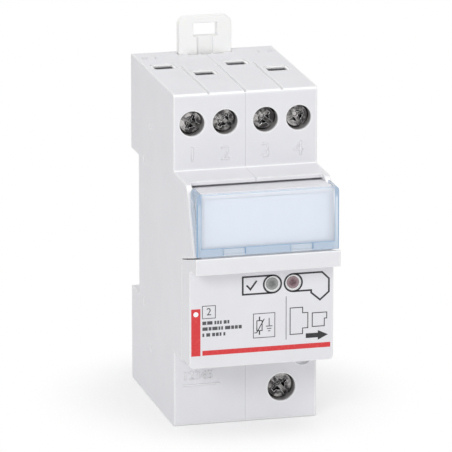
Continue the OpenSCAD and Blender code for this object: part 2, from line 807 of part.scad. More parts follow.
module blade_form(x, z) difference() {
    block(
        [x - blade_t / 2, blade_inner_y, z - blade_half_h],
        [x + blade_t / 2, blade_end_y, z + blade_half_h]
    );
    // Tapers at the tip
    for (side = [-1, 1])
        translate([x, blade_end_y, z + side * contact_h / 2]) rotate([side * 45, 0, 0])
            cube([blade_t + over, 2 * blade_taper, blade_taper], center = true);
}

// Box behind the front, open to it, with slots that hold the blades
module cartridge_box() color("gainsboro") difference() {
    block([-box_x, box_front_y, -box_z], [box_x, box_rear_y, box_z]);
    block([-cavity_x, box_front_y - over, -cavity_z], [cavity_x, box_rear_y - cartridge_wall, cavity_z]);
    for (place = [[-contact_x, contact_z], [contact_x, contact_z], [contact_x, -contact_z]])
        block(
            [place[0] - blade_t / 2, box_rear_y - cartridge_wall - over, place[1] - blade_half_h],
            [place[0] + blade_t / 2, box_rear_y + over, place[1] + blade_half_h]
        );
}

module neutral_blade() color("tan") blade_form(-contact_x, contact_z);

module live_blade() color("tan") blade_form(contact_x, contact_z);

module earth_blade() color("tan") blade_form(contact_x, -contact_z);

module label_card() color("aliceblue") block(
    [-card_w / 2, block_front_y + card_pocket - card_t, card_z],
    [card_w / 2, block_front_y + card_pocket, card_z + card_h]
);

module lens(x) bar_y(x, lamp_z, lens_d / 2, face_y + ring_depth / 2, lamp_front_y);

module green_lens() color("darkseagreen") lens(lamp_x[0]);

module red_lens() color("rosybrown") lens(lamp_x[1]);

// Lamp on the board, close behind its lens
module lamp(x) bar_y(x, lamp_z, lamp_d / 2, lamp_front_y, board_y);

module green_lamp() color("seagreen") lamp(lamp_x[0]);

module red_lamp() color("firebrick") lamp(lamp_x[1]);

module lamp_board() color("darkgreen") block(
    [-board_w / 2, board_y, lamp_z - board_h / 2],
    [board_w / 2, board_y + board_t, lamp_z + board_h / 2]
);

// Square varistor block on the floor of the box
module varistor(from, to) across(from, to) polygon(rounded([
    [varistor_rear_y, -cavity_z, varistor_r],
    [varistor_rear_y, -cavity_z + varistor_h, varistor_r],
    [varistor_front_y, -cavity_z + varistor_h, varistor_r],
    [varistor_front_y, -cavity_z, varistor_r]
]));

module live_varistor() color("steelblue") varistor(plate_t / 2, plate_t / 2 + varistor_t);

module neutral_varistor() color("steelblue") varistor(-plate_t / 2 - varistor_t, -plate_t / 2);

// Plate between the varistors, which also carries the gas tube
module centre_plate() color("tan") block(
    [-plate_t / 2, tube_y - tube_d / 2, -cavity_z],
    [plate_t / 2, tube_y + tube_d / 2, plate_top_z]
);

// Gas tube: a ceramic barrel between two rims
module gas_tube() color("lavender") {
    bar_x(tube_y, tube_z, tube_d / 2 - small_r, plate_t / 2, plate_t / 2 + tube_l);
    for (x = [plate_t / 2, plate_t / 2 + tube_l - small_r]) bar_x(tube_y, tube_z, tube_d / 2, x, x + small_r);
}

// Spring strip from a blade to the face of its varistor
module release_strip(side) mirror([side < 0 ? 1 : 0, 0, 0]) {
    face_x = plate_t / 2 + varistor_t;
    block(
        [face_x, blade_inner_y - strip_w - strip_t, -cavity_z + varistor_h / 2],
        [face_x + strip_t, blade_inner_y, contact_z + contact_h / 2 - blade_trim]
    );
    block(
        [face_x, blade_inner_y - strip_t, contact_z - contact_h / 2 + blade_trim],
        [contact_x + blade_t / 2, blade_inner_y, contact_z + contact_h / 2 - blade_trim]
    );
}

module live_release_strip() color("goldenrod") release_strip(1);

module neutral_release_strip() color("goldenrod") release_strip(-1);

// Link from the gas tube's far end to the earth blade
module earth_link() color("goldenrod") {
    link_x = plate_t / 2 + tube_l;
    block(
        [link_x, tube_y - strip_w / 2, -contact_z - contact_h / 2 + blade_trim],
        [link_x + strip_t, tube_y + strip_w / 2, tube_z + tube_d / 4]
    );
    block(
        [link_x, tube_y, -contact_z - contact_h / 2 + blade_trim],
        [link_x + strip_t, blade_inner_y, -contact_z + contact_h / 2 - blade_trim]
    );
    block(
        [link_x, blade_inner_y - strip_t, -contact_z - contact_h / 2 + blade_trim],
        [contact_x + blade_t / 2, blade_inner_y, -contact_z + contact_h / 2 - blade_trim]
    );
}

flap_rear_y = lip_y + play + flap_side_d;
// Height at which the flap's rear edge meets the line along the cheek
flap_bend_z = nose_z - (cheek_top_y - free_gap - flap_rear_y) / cheek_lean_share;

// Side of the flap, cut back along the cheek
module flap_side_outline() polygon(rounded([
    [lip_y + play, flap_bottom_z, small_r],
    [lip_y + play, block_top_z, small_r],
    [flap_rear_y, block_top_z, small_r],
    [flap_rear_y, flap_bend_z, small_r],
    [cheek_y(flap_bottom_z) - free_gap, flap_bottom_z, 0]
]));

// Clear flap over the label, hung on two pins at its top corners
module label_flap() color("lightblue", 0.5) difference() {
    union() {
        intersection() {
            union() {
                block(
                    [-flap_w / 2, lip_y + play, flap_bottom_z],
                    [flap_w / 2, lip_y + play + flap_t, block_top_z]
                );
                for (side = [0, 1]) mirror([side, 0, 0]) across(pocket_x, flap_w / 2) flap_side_outline();
            }
            facing(lip_y, shelf_y) polygon(rounded([
                [-flap_w / 2, flap_bottom_z, 0],
                [flap_w / 2, flap_bottom_z, 0],
                [flap_w / 2, block_top_z, flap_r],
                [-flap_w / 2, block_top_z, flap_r]
            ]));
        }
        for (side = [0, 1]) mirror([side, 0, 0])
            bar_x(flap_pin_y, flap_pin_z, flap_pin_d / 2, cavity_x, pocket_x + small_r);
    }
    for (side = [-1, 1]) block(
        [side * catch_x - catch_w / 2, lip_y - over, flap_bottom_z + small_r],
        [side * catch_x + catch_w / 2, lip_y + play + catch_depth, flap_bottom_z + small_r + catch_h]
    );
}

left_shell();
right_shell();
case_pins();
neutral_busbar();
live_busbar();
earth_strip();
neutral_contact();
live_contact();
earth_contact();
rail_clip();
terminal_screw(0);  // terminal_screw_1
terminal_screw(1);  // terminal_screw_2
terminal_screw(2);  // terminal_screw_3
terminal_screw(3);  // terminal_screw_4
earth_screw();
clamp(0);  // clamp_1
clamp(1);  // clamp_2
clamp(2);  // clamp_3
clamp(3);  // clamp_4
earth_clamp();
cartridge_front();
cartridge_box();
label_card();
green_lens();
red_lens();
lamp_board();
green_lamp();
red_lamp();
live_varistor();
neutral_varistor();
centre_plate();
gas_tube();
live_release_strip();
neutral_release_strip();
earth_link();
live_blade();
neutral_blade();
earth_blade();
label_flap();
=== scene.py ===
import json
import math
import random

import bmesh
import bpy
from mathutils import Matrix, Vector

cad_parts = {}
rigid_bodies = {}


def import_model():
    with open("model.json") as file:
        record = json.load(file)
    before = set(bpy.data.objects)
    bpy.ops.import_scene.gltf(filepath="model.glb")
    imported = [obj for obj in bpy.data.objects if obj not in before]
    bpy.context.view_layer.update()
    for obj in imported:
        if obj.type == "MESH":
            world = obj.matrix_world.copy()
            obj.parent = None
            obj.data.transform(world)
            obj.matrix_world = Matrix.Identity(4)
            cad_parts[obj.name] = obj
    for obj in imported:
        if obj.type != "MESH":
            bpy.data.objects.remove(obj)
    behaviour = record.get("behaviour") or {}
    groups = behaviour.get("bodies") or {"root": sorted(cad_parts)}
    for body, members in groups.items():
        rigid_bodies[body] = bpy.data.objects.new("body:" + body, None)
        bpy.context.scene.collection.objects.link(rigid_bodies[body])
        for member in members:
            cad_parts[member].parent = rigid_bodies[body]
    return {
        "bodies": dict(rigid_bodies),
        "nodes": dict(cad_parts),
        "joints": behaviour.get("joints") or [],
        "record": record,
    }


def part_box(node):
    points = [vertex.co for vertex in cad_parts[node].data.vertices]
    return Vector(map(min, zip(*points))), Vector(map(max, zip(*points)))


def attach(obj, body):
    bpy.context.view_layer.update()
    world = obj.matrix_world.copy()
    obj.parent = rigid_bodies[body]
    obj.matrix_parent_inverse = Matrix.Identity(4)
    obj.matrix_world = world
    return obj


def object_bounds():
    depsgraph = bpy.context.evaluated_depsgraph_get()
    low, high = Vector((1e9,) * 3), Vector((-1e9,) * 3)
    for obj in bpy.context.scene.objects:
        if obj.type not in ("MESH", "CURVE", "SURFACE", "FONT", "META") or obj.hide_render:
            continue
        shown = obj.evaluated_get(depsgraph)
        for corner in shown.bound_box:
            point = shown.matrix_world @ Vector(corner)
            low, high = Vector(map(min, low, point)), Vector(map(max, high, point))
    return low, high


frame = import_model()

mm = 0.001
cadBox = [list(corner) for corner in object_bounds()]
nodes = frame["nodes"]


# Colours are given as they show on a screen, 0 to 255
def tone(*channels):
    shares = [channel / 255 for channel in channels]
    linear = [share / 12.92 if share <= 0.04045 else ((share + 0.055) / 1.055) ** 2.4 for share in shares]
    return (*linear, 1.0)


# A value inside a finish, so that shader maths reads as sums
class Wire:
    def __init__(self, finish, socket):
        self.finish = finish
        self.socket = socket

    def sum(self, operation, *values):
        return self.finish.add("Math", {"operation": operation}, dict(enumerate(values)))

    def __add__(self, other):
        return self.sum("ADD", self, other)

    def __radd__(self, other):
        return self.sum("ADD", other, self)

    def __sub__(self, other):
        return self.sum("SUBTRACT", self, other)

    def __rsub__(self, other):
        return self.sum("SUBTRACT", other, self)

    def __mul__(self, other):
        return self.sum("MULTIPLY", self, other)

    def __rmul__(self, other):
        return self.sum("MULTIPLY", other, self)

    def __gt__(self, other):
        return self.sum("GREATER_THAN", self, other)

    def __lt__(self, other):
        return self.sum("LESS_THAN", self, other)

    def __abs__(self):
        return self.sum("ABSOLUTE", self)

    def root(self):
        return self.sum("SQRT", self)

    def larger(self, other):
        return self.sum("MAXIMUM", self, other)

    # 0 below the low value, 1 above the high one
    def between(self, low, high):
        smooth = {"interpolation_type": "SMOOTHSTEP"}
        return self.finish.add("MapRange", smooth, {0: self, 1: low, 2: high})

    # Another output of the node that this value comes from
    def beside(self, output):
        return Wire(self.finish, self.socket.node.outputs[output])


# The nodes of one material, or of the world
class Finish:
    def __init__(self, owner):
        self.owner = owner
        owner.use_nodes = True
        self.tree = owner.node_tree
        self.tree.nodes.clear()

    def add(self, kind, settings=None, sockets=None, output=0):
        node = self.tree.nodes.new("ShaderNode" + kind)
        for key, value in (settings or {}).items():
            setattr(node, key, value)
        for key, value in (sockets or {}).items():
            if isinstance(value, Wire):
                self.tree.links.new(value.socket, node.inputs[key])
            else:
                node.inputs[key].default_value = value
        return Wire(self, node.outputs[output] if node.outputs else None)

    def place(self):
        return self.add("TexCoord", output="Object")

    # Across, deep and up, in metres in the object's own frame
    def parts(self):
        split = self.add("SeparateXYZ", sockets={0: self.place()})
        return [split.beside(i) for i in range(3)]

    # Distance from a line that runs from front to rear
    def away(self, x, z):
        across, _, up = self.parts()
        return ((across - x) * (across - x) + (up - z) * (up - z)).root()

    def noise(self, scale, detail=2, roughness=0.55, stretch=None):
        where = self.place()
        if stretch:
            where = self.add("VectorMath", {"operation": "MULTIPLY"}, {0: where, 1: stretch})
        sockets = {"Vector": where, "Scale": scale, "Detail": detail, "Roughness": roughness}
        return self.add("TexNoise", sockets=sockets)

    def mix(self, first, second, factor):
        return self.add("Mix", {"data_type": "RGBA"}, {0: factor, 6: first, 7: second}, output=2)

    def blend(self, first, second, factor):
        return self.add("Mix", {"data_type": "VECTOR"}, {0: factor, 4: first, 5: second}, output=1)

    # 1 where a rounded corner looks up and forward, or down and forward
    def roundedCorner(self, low, high):
        split = self.add("SeparateXYZ", sockets={0: self.add("TexCoord", output="Normal")})
        return (abs(split.beside(1)) * abs(split.beside(2)) * 2).between(low, high)

    # Normal rounded over at the edges
    def softened(self, radius):
        return self.add("Bevel", {"samples": 6}, {"Radius": radius})

    def flat(self):
        return self.add("NewGeometry", output="Normal")

    # 1 along an edge, 0 on the flat
    def edges(self, radius, gain):
        pair = {0: self.softened(radius), 1: self.flat()}
        agreement = self.add("VectorMath", {"operation": "DOT_PRODUCT"}, pair, "Value")
        return ((1 - agreement) * gain).between(0.0, 1.0)

    def bump(self, height, depth, normal=None):
        sockets = {"Height": height, "Distance": depth, "Strength": 1.0}
        if normal:
            sockets["Normal"] = normal
        return self.add("Bump", sockets=sockets)

    def surface(self, sockets):
        shader = self.add("BsdfPrincipled", sockets=sockets)
        self.add("OutputMaterial", sockets={"Surface": shader})
        return self.owner


def newFinish(name):
    return Finish(bpy.data.materials.new(name))


# Moulded plastic: fine spark-eroded grain, faint clouding, and painted highlights: paler edges and bright
# rounded corners
plasticLook = {
    "colour": (229, 229, 233),
    "shade": (226, 226, 230),
    # The edge colour, pale in most finishes, is mixed in along edges and on rounded corners as a painted
    # highlight
    "edgeColour": (255, 255, 255),
    "edge": 0.35 * mm,
    "edgeMix": 0.7,
    "edgeMaskReach": 1.7,  # in widths of the edge
    "edgeMaskGain": 9.0,
    "cornerRange": (0.6, 1.0),
    "cornerShare": 1.0,
    "roughness": 0.42,
    "grainScale": 6500,
    "grainDepth": 0.006 * mm,
    "grainRoughness": 0.12,
    "cloudScale": 90,
    "cloudRange": (0.3, 0.7),
    "cloudRoughness": 0.06,
    "ior": 1.5,
}


# The two shells meet flush, so their shared edge hardly shows, and the sunk ledges get a painted highlight
def shellSeam(finish, colour, normal, edgeMask, look):
    across, deep, up = finish.parts()
    beside = abs(across).between(*look["hiddenEdge"])
    kept = look["keptBevel"]
    normal = finish.blend(finish.flat(), normal, kept + beside * (1 - kept))
    colour = finish.mix(colour, tone(*look["shade"]), 1 - abs(across).between(*look["line"]))
    (left, front, bottom), (right, rear, top) = look["ledgeRoom"]
    ledge = (up > bottom) * (up < top)
    ledge = ledge * (across > left) * (across < right) * (deep > front) * (deep < rear)
    # Painted highlight: the sunk ledges round the wire entries are whitened
    colour = finish.mix(colour, tone(*look["ledgeHighlight"]), ledge * look["ledgeHighlightStrength"])
    return colour, normal, edgeMask * beside


# Painted shade: the wells over the screws are darker at their bottom
def paintedWellShade(finish, colour, look):
    deep = finish.parts()[1]
    for x, z, radius, front, rear in look["places"]:
        inside = (finish.away(x, z) < radius) * deep.between(front, rear) * (deep < rear + look["depth"])
        colour = finish.mix(colour, tone(*look["shade"]), inside)
    return colour


def mouldedPlastic(name, changes):
    look = {**plasticLook, **changes}
    finish = newFinish(name)
    cloud = finish.noise(look["cloudScale"], 4)
    grain = finish.noise(look["grainScale"], 2, 0.6)
    edgeMask = finish.edges(look["edge"] * look["edgeMaskReach"], look["edgeMaskGain"])
    normal = finish.softened(look["edge"])
    colour = finish.mix(tone(*look["shade"]), tone(*look["colour"]), cloud.between(*look["cloudRange"]))
    if "seam" in look:
        colour, normal, edgeMask = shellSeam(finish, colour, normal, edgeMask, look["seam"])
    # Painted highlight: rounded corners that face forward and up or down take the edge colour too
    edgeMask = edgeMask.larger(finish.roundedCorner(*look["cornerRange"]) * look["cornerShare"])
    colour = finish.mix(colour, tone(*look["edgeColour"]), edgeMask * look["edgeMix"])
    # Painted shade at the bottom of the screw wells
    if "wellShade" in look:
        colour = paintedWellShade(finish, colour, look["wellShade"])
    uneven = (grain - 0.5) * look["grainRoughness"] + (cloud - 0.5) * look["cloudRoughness"]
    sockets = {
        "Base Color": colour,
        "Roughness": look["roughness"] + uneven,
        "Normal": finish.bump(grain, look["grainDepth"], normal),
        "IOR": look["ior"],
    }
    sockets.update(look.get("more", {}))
    return finish.surface(sockets)


# Bare metal: rolling lines or turning marks, darker patches that are a dulled film and on the screws a
# painted reflection, and a painted highlight along the edges
metalLook = {
    "edge": 0.15 * mm,
    "edgeGain": 4.0,
    "edgeMix": 0.8,
    "softEdge": 0.12 * mm,
    "filmAndReflectionScale": 260,
    "filmAndReflectionRange": (0.35, 0.65),
    "filmAndReflectionRoughness": 0.15,
    "lineRoughness": 0.2,
}


def bareMetal(name, changes):
    look = {**metalLook, **changes}
    finish = newFinish(name)
    lines = finish.noise(look["lineScale"], 3, 0.6, look["stretch"])
    filmAndReflection = finish.noise(look["filmAndReflectionScale"], 4)
    colour = finish.mix(tone(*look["filmAndReflection"]), tone(*look["colour"]), filmAndReflection.between(*look["filmAndReflectionRange"]))
    # Painted highlight along the edges
    edgeMask = finish.edges(look["edge"], look["edgeGain"]) * look["edgeMix"]
    uneven = (lines - 0.5) * look["lineRoughness"] + (filmAndReflection - 0.5) * look["filmAndReflectionRoughness"]
    return finish.surface({
        "Base Color": finish.mix(colour, tone(*look["edgeColour"]), edgeMask),
        "Metallic": 1.0,
        "Roughness": look["roughness"] + uneven,
        "Normal": finish.bump(lines, look["lineDepth"], finish.softened(look["softEdge"])),
    })


print("finishes")

caseLow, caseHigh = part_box("left_shell")
seamLook = {
    "hiddenEdge": (0.2 * mm, 0.6 * mm),
    "keptBevel": 0.2,
    "line": (0.03 * mm, 0.13 * mm),
    "shade": (209, 209, 213),
    "ledgeRoom": (
        (caseLow.x + mm, caseHigh.y - 43 * mm, caseHigh.z - 0.36 * mm),
        (-caseLow.x - mm, caseHigh.y - 12 * mm, caseHigh.z - 0.1 * mm),
    ),
    "ledgeHighlight": (255, 255, 255),
    "ledgeHighlightStrength": 0.9,
}
# Painted shade in the wells over the screws; the wells' places also set the terminal numbers
wellLook = {
    "screws": ["terminal_screw_1", "terminal_screw_2", "terminal_screw_3", "terminal_screw_4", "earth_screw"],
    "room": 0.3 * mm,
    "start": (2.1 * mm, 0.9 * mm),  # in front of the screw's head
    "depth": 4.0 * mm,
    "shade": (146, 144, 143),
    "places": [],
}
for screw in wellLook["screws"]:
    low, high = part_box(screw)
    radius = (high.x - low.x) / 2 + wellLook["room"]
    front, rear = (low.y - start for start in wellLook["start"])
    wellLook["places"].append(((low.x + high.x) / 2, (low.z + high.z) / 2, radius, front, rear))

casePlastic = mouldedPlastic("casePlastic", {})
# The shells get a stronger painted highlight on their edges, a painted highlight on the sunk ledges and
# painted shade in the screw wells
shellPlastic = mouldedPlastic("shellPlastic", {
    "edge": 0.5 * mm, "edgeMix": 0.9, "seam": seamLook, "wellShade": wellLook,
})
pinPlastic = mouldedPlastic("pinPlastic", {"colour": (224, 224, 228), "shade": (219, 219, 223)})
boxPlastic = mouldedPlastic("boxPlastic", {"colour": (222, 222, 225), "shade": (217, 217, 220)})
clipPlastic = mouldedPlastic("clipPlastic", {
    "colour": (254, 254, 252), "shade": (252, 252, 250), "roughness": 0.36,
    "more": {"Subsurface Weight": 0.35, "Subsurface Radius": (1.2 * mm, 1.2 * mm, mm)},
})
boardLacquer = mouldedPlastic("boardLacquer", {
    "colour": (38, 112, 70), "shade": (30, 98, 60), "edgeColour": (150, 160, 110),
    "roughness": 0.3, "cloudScale": 500,
})
varistorCoating = mouldedPlastic("varistorCoating", {
    "colour": (52, 104, 170), "shade": (44, 92, 156), "edgeColour": (80, 128, 186),
    "roughness": 0.36, "cloudScale": 400, "grainScale": 1800, "grainDepth": 0.02 * mm,
})
tubeCeramic = mouldedPlastic("tubeCeramic", {
    "colour": (232, 232, 228), "shade": (222, 221, 216), "edgeColour": (190, 188, 184),
    "roughness": 0.3, "cloudScale": 600,
})
# Screw heads: strong light and dark patches are a painted reflection, and the near-white edges a painted
# highlight
screwSteel = bareMetal("screwSteel", {
    "colour": (200, 198, 196), "filmAndReflection": (64, 62, 62), "edgeColour": (250, 250, 251),
    "roughness": 0.2, "edge": 0.3 * mm, "filmAndReflectionScale": 460, "filmAndReflectionRange": (0.42, 0.68),
    "lineScale": 900, "stretch": (1, 0.2, 1), "lineDepth": 0.004 * mm,
})
clampSteel = bareMetal("clampSteel", {
    "colour": (186, 186, 188), "filmAndReflection": (160, 159, 158), "edgeColour": (226, 226, 226),
    "roughness": 0.32, "lineScale": 1200, "stretch": (1, 1, 0.15), "lineDepth": 0.006 * mm,
})
rolledBrass = bareMetal("rolledBrass", {
    "colour": (214, 174, 104), "filmAndReflection": (190, 146, 82), "edgeColour": (236, 206, 146),
    "roughness": 0.28, "lineScale": 1500, "stretch": (1, 1, 0.08), "lineDepth": 0.005 * mm,
})
tinnedBrass = bareMetal("tinnedBrass", {
    "colour": (206, 204, 194), "filmAndReflection": (182, 178, 166), "edgeColour": (228, 214, 176),
    "roughness": 0.3, "lineScale": 1500, "stretch": (1, 0.08, 1), "lineDepth": 0.005 * mm,
})


# Label card: uncoated paper with faint fibres
paperLook = {
    "colour": (244, 249, 255),
    "fibre": (240, 246, 255),
    "fibreScale": 2600,
    "fibreRange": (0.35, 0.65),
    "fibreDepth": 0.0008 * mm,
    "roughness": 0.75,
    "fibreRoughness": 0.1,
}


def labelPaper():
    finish = newFinish("labelPaper")
    fibres = finish.noise(paperLook["fibreScale"], 4, 0.7)
    patches = fibres.between(*paperLook["fibreRange"])
    return finish.surface({
        "Base Color": finish.mix(tone(*paperLook["fibre"]), tone(*paperLook["colour"]), patches),
        "Roughness": paperLook["roughness"] + (fibres - 0.5) * paperLook["fibreRoughness"],
        "Normal": finish.bump(fibres, paperLook["fibreDepth"]),
    })


# Lens: dull glassy plastic, darker towards its middle
lensLook = {
    "rimRange": (0.4 * mm, 1.5 * mm),
    "speckScale": 1500,
    "speckReach": 0.4 * mm,
    "roughness": 0.22,
    "speckRoughness": 0.1,
    "softEdge": 0.3 * mm,
    "coat": 0.5,
    "coatRoughness": 0.08,
}


def lensPlastic(name, middle, rim, place):
    finish = newFinish(name)
    specks = finish.noise(lensLook["speckScale"], 3)
    away = finish.away(*place) + (specks - 0.5) * lensLook["speckReach"]
    return finish.surface({
        "Base Color": finish.mix(tone(*middle), tone(*rim), away.between(*lensLook["rimRange"])),
        "Roughness": lensLook["roughness"] + specks * lensLook["speckRoughness"],
        "Normal": finish.softened(lensLook["softEdge"]),
        "Coat Weight": lensLook["coat"],
        "Coat Roughness": lensLook["coatRoughness"],
    })


greenLow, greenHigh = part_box("green_lens")
redLow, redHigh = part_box("red_lens")
greenPlace = ((greenLow.x + greenHigh.x) / 2, (greenLow.z + greenHigh.z) / 2)
redPlace = ((redLow.x + redHigh.x) / 2, (redLow.z + redHigh.z) / 2)
greenLens = lensPlastic("greenLens", (110, 113, 111), (156, 157, 157), greenPlace)
redLens = lensPlastic("redLens", (96, 66, 74), (156, 134, 139), redPlace)
greenLamp = lensPlastic("greenLamp", (60, 150, 84), (44, 120, 66), greenPlace)
redLamp = lensPlastic("redLamp", (190, 50, 48), (160, 36, 36), redPlace)


# Flap: clear blue front, denser frame with thin lines, two finger recesses and clear side walls
flapLook = {
    "clear": (240, 246, 255),
    "frame": (204, 221, 239),
    "line": (142, 176, 208),
    "corner": (164, 186, 210),
    "recess": (228, 238, 249),
    "clearAlpha": 0.3,
    "frameAlpha": 0.6,
    "wallAlpha": 0.34,
    "lineAlpha": 0.35,
    "cornerAlpha": 0.25,
    "streakAlpha": 0.02,
    "streakScale": 140,
    "streakStretch": (1, 1, 0.2),
    "streakRoughness": 0.08,
    "roughness": 0.1,
    "softEdge": 0.3 * mm,
    "ior": 1.49,
    "sideFrame": 0.95 * mm,
    "lowerFrame": 1.9 * mm,
    "topLine": 0.22 * mm,
    "outerLine": 0.2 * mm,
    "lineWidth": 0.07 * mm,
    "cornerHeight": 2.5 * mm,
    "thickness": 1.05 * mm,
    "recessPlace": 8.3 * mm,
    "recessWidth": 5.5 * mm,
    "recessTop": 1.8 * mm,
}


def flapPlastic():
    finish = newFinish("flapPlastic")
    look = flapLook
    low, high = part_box("label_flap")
    across, deep, up = finish.parts()
    fromSide = high.x - abs(across)
    fromBottom = up - low.z
    side, lower, line = look["sideFrame"], look["lowerFrame"], look["lineWidth"]
    front = deep < low.y + look["thickness"]
    frame = (fromSide < side).larger(fromBottom < lower)
    sideLine = (abs(fromSide - side) < line) * (fromBottom > lower)
    lowerLine = (abs(fromBottom - lower) < line) * (fromSide > side)
    topLine = abs(high.z - up - look["topLine"]) < line
    outerLine = fromSide < look["outerLine"]
    fromRecess = abs(abs(across) - look["recessPlace"]) - look["recessWidth"] / 2
    recess = (fromRecess < 0) * (fromBottom < look["recessTop"])
    recessSides = (abs(fromRecess) < line) * (fromBottom < look["recessTop"])
    lines = sideLine.larger(lowerLine).larger(topLine).larger(outerLine).larger(recessSides) * front
    corner = (fromSide < side) * (up > high.z - look["cornerHeight"])
    streaks = finish.noise(look["streakScale"], 3, 0.6, look["streakStretch"])
    colour = finish.mix(tone(*look["clear"]), tone(*look["frame"]), frame)
    colour = finish.mix(colour, tone(*look["recess"]), recess)
    colour = finish.mix(colour, tone(*look["line"]), lines)
    colour = finish.mix(colour, tone(*look["corner"]), corner)
    alpha = look["clearAlpha"] + frame * (look["frameAlpha"] - look["clearAlpha"])
    alpha = look["wallAlpha"] + front * (alpha - look["wallAlpha"])
    alpha = alpha + lines * look["lineAlpha"] + corner * look["cornerAlpha"]
    finish.owner.surface_render_method = "BLENDED"
    return finish.surface({
        "Base Color": colour,
        "Roughness": look["roughness"] + streaks * look["streakRoughness"],
        "Alpha": alpha + (streaks - 0.5) * look["streakAlpha"],
        "Normal": finish.softened(look["softEdge"]),
        "IOR": look["ior"],
    })


# Printing ink: even colour with slightly starved patches
inkLook = {
    "patchScale": 1400,
    "patchRange": (0.45, 0.8),
    "patchDepth": 0.003 * mm,
    "roughness": 0.38,
    "patchRoughness": 0.15,
}


def ink(name, colour, thin):
    finish = newFinish(name)
    patches = finish.noise(inkLook["patchScale"], 3)
    return finish.surface({
        "Base Color": finish.mix(tone(*colour), tone(*thin), patches.between(*inkLook["patchRange"])),
        "Roughness": inkLook["roughness"] + patches * inkLook["patchRoughness"],
        "Normal": finish.bump(patches, inkLook["patchDepth"]),
    })


blackInk = ink("blackInk", (40, 40, 44), (62, 62, 66))
greyInk = ink("greyInk", (78, 78, 82), (100, 100, 104))
redInk = ink("redInk", (214, 52, 56), (222, 74, 76))
whiteInk = ink("whiteInk", (250, 250, 250), (244, 244, 244))

finishOf = {
    "left_shell": shellPlastic, "right_shell": shellPlastic, "case_pins": pinPlastic,
    "neutral_busbar": rolledBrass, "live_busbar": rolledBrass, "earth_strip": rolledBrass,
    "neutral_contact": rolledBrass, "live_contact": rolledBrass, "earth_contact": rolledBrass,
    "rail_clip": clipPlastic,
    "terminal_screw_1": screwSteel, "terminal_screw_2": screwSteel, "terminal_screw_3": screwSteel,
    "terminal_screw_4": screwSteel, "earth_screw": screwSteel,
    "clamp_1": clampSteel, "clamp_2": clampSteel, "clamp_3": clampSteel, "clamp_4": clampSteel,
    "earth_clamp": clampSteel,
    "cartridge_front": casePlastic, "cartridge_box": boxPlastic, "label_card": labelPaper(),
    "green_lens": greenLens, "red_lens": redLens, "lamp_board": boardLacquer,
    "green_lamp": greenLamp, "red_lamp": redLamp,
    "live_varistor": varistorCoating, "neutral_varistor": varistorCoating, "centre_plate": tinnedBrass,
    "gas_tube": tubeCeramic, "live_release_strip": rolledBrass, "neutral_release_strip": rolledBrass,
    "earth_link": rolledBrass, "live_blade": tinnedBrass, "neutral_blade": tinnedBrass,
    "earth_blade": tinnedBrass, "label_flap": flapPlastic(),
}
for name, node in nodes.items():
    node.data.materials.clear()
    node.data.materials.append(finishOf[name])


# A line of even width through [x, z] points in millimetres, as four-sided outlines
def stroke(points, width, closed=False):
    lines = [Vector(p) for p in points]
    count = len(lines)
    shortest = 0.4  # keeps the mitre of a sharp corner short
    left, right = [], []
    for i, here in enumerate(lines):
        before = lines[i - 1] if closed or i > 0 else None
        after = lines[(i + 1) % count] if closed or i < count - 1 else None
        ways = [(here - before).normalized()] if before else []
        ways += [(after - here).normalized()] if after else []
        sides = [Vector((-way.y, way.x)) for way in ways]
        mitre = sum(sides, Vector((0, 0))).normalized()
        reach = width / 2 / max(shortest, mitre.dot(sides[0]))
        left.append(here + mitre * reach)
        right.append(here - mitre * reach)
    steps = range(count if closed else count - 1)
    return [[left[i], left[(i + 1) % count], right[(i + 1) % count], right[i]] for i in steps]


def arc(x, z, radius, start, end, steps=16):
    turns = [math.radians(start + (end - start) * i / steps) for i in range(steps + 1)]
    return [(x + radius * math.cos(t), z + radius * math.sin(t)) for t in turns]


def disc(x, z, radius):
    return [arc(x, z, radius, 0, 360, 48)[:-1]]


def ring(x, z, radius, width):
    return stroke(arc(x, z, radius, 0, 360, 64)[:-1], width, True)


def rectangle(left, bottom, right, top):
    return [(left, bottom), (right, bottom), (right, top), (left, top)]


# Thin raised shapes: [x, z] outlines on a face that looks forward, or [x, y] ones on a top face
def mark(name, shapes, level, height, finish, body, onTop=False):
    mesh = bmesh.new()
    for shape in shapes:
        points = [(x, other, level) if onTop else (x, level, other) for x, other in shape]
        mesh.faces.new([mesh.verts.new(Vector(point) * mm) for point in points])
    joined = 0.001 * mm
    bmesh.ops.remove_doubles(mesh, verts=mesh.verts, dist=joined)
    grown = bmesh.ops.extrude_face_region(mesh, geom=list(mesh.faces))
    raised = [item for item in grown["geom"] if isinstance(item, bmesh.types.BMVert)]
    bmesh.ops.translate(mesh, verts=raised, vec=(0, 0, height * mm) if onTop else (0, -height * mm, 0))
    bmesh.ops.recalc_face_normals(mesh, faces=mesh.faces)
    data = bpy.data.meshes.new(name)
    mesh.to_mesh(data)
    mesh.free()
    piece = bpy.data.objects.new(name, data)
    bpy.context.scene.collection.objects.link(piece)
    data.materials.append(finish)
    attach(piece, body)
    return piece


# A plain number, raised from a face that looks towards -Y. It is thinned by a share of its size.
def number(name, text, x, z, size, front, height, finish, body):
    thinning = 0.006
    curve = bpy.data.curves.new(name, "FONT")
    curve.body = text
    curve.size = size * mm
    curve.extrude = height * mm / 2
    curve.offset = -thinning * size * mm
    curve.align_x = "CENTER"
    curve.align_y = "CENTER"
    curve.resolution_u = 6
    template = bpy.data.objects.new(name + "Template", curve)
    bpy.context.scene.collection.objects.link(template)
    bpy.context.view_layer.update()
    evaluated = template.evaluated_get(bpy.context.evaluated_depsgraph_get())
    data = bpy.data.meshes.new_from_object(evaluated)
    bpy.data.objects.remove(template)
    data.name = name
    piece = bpy.data.objects.new(name, data)
    bpy.context.scene.collection.objects.link(piece)
    piece.rotation_euler = (math.radians(90), 0, 0)
    piece.location = (x * mm, (front - height / 2) * mm, z * mm)
    data.materials.clear()
    data.materials.append(finish)
    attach(piece, body)
    return piece


print("printed face")

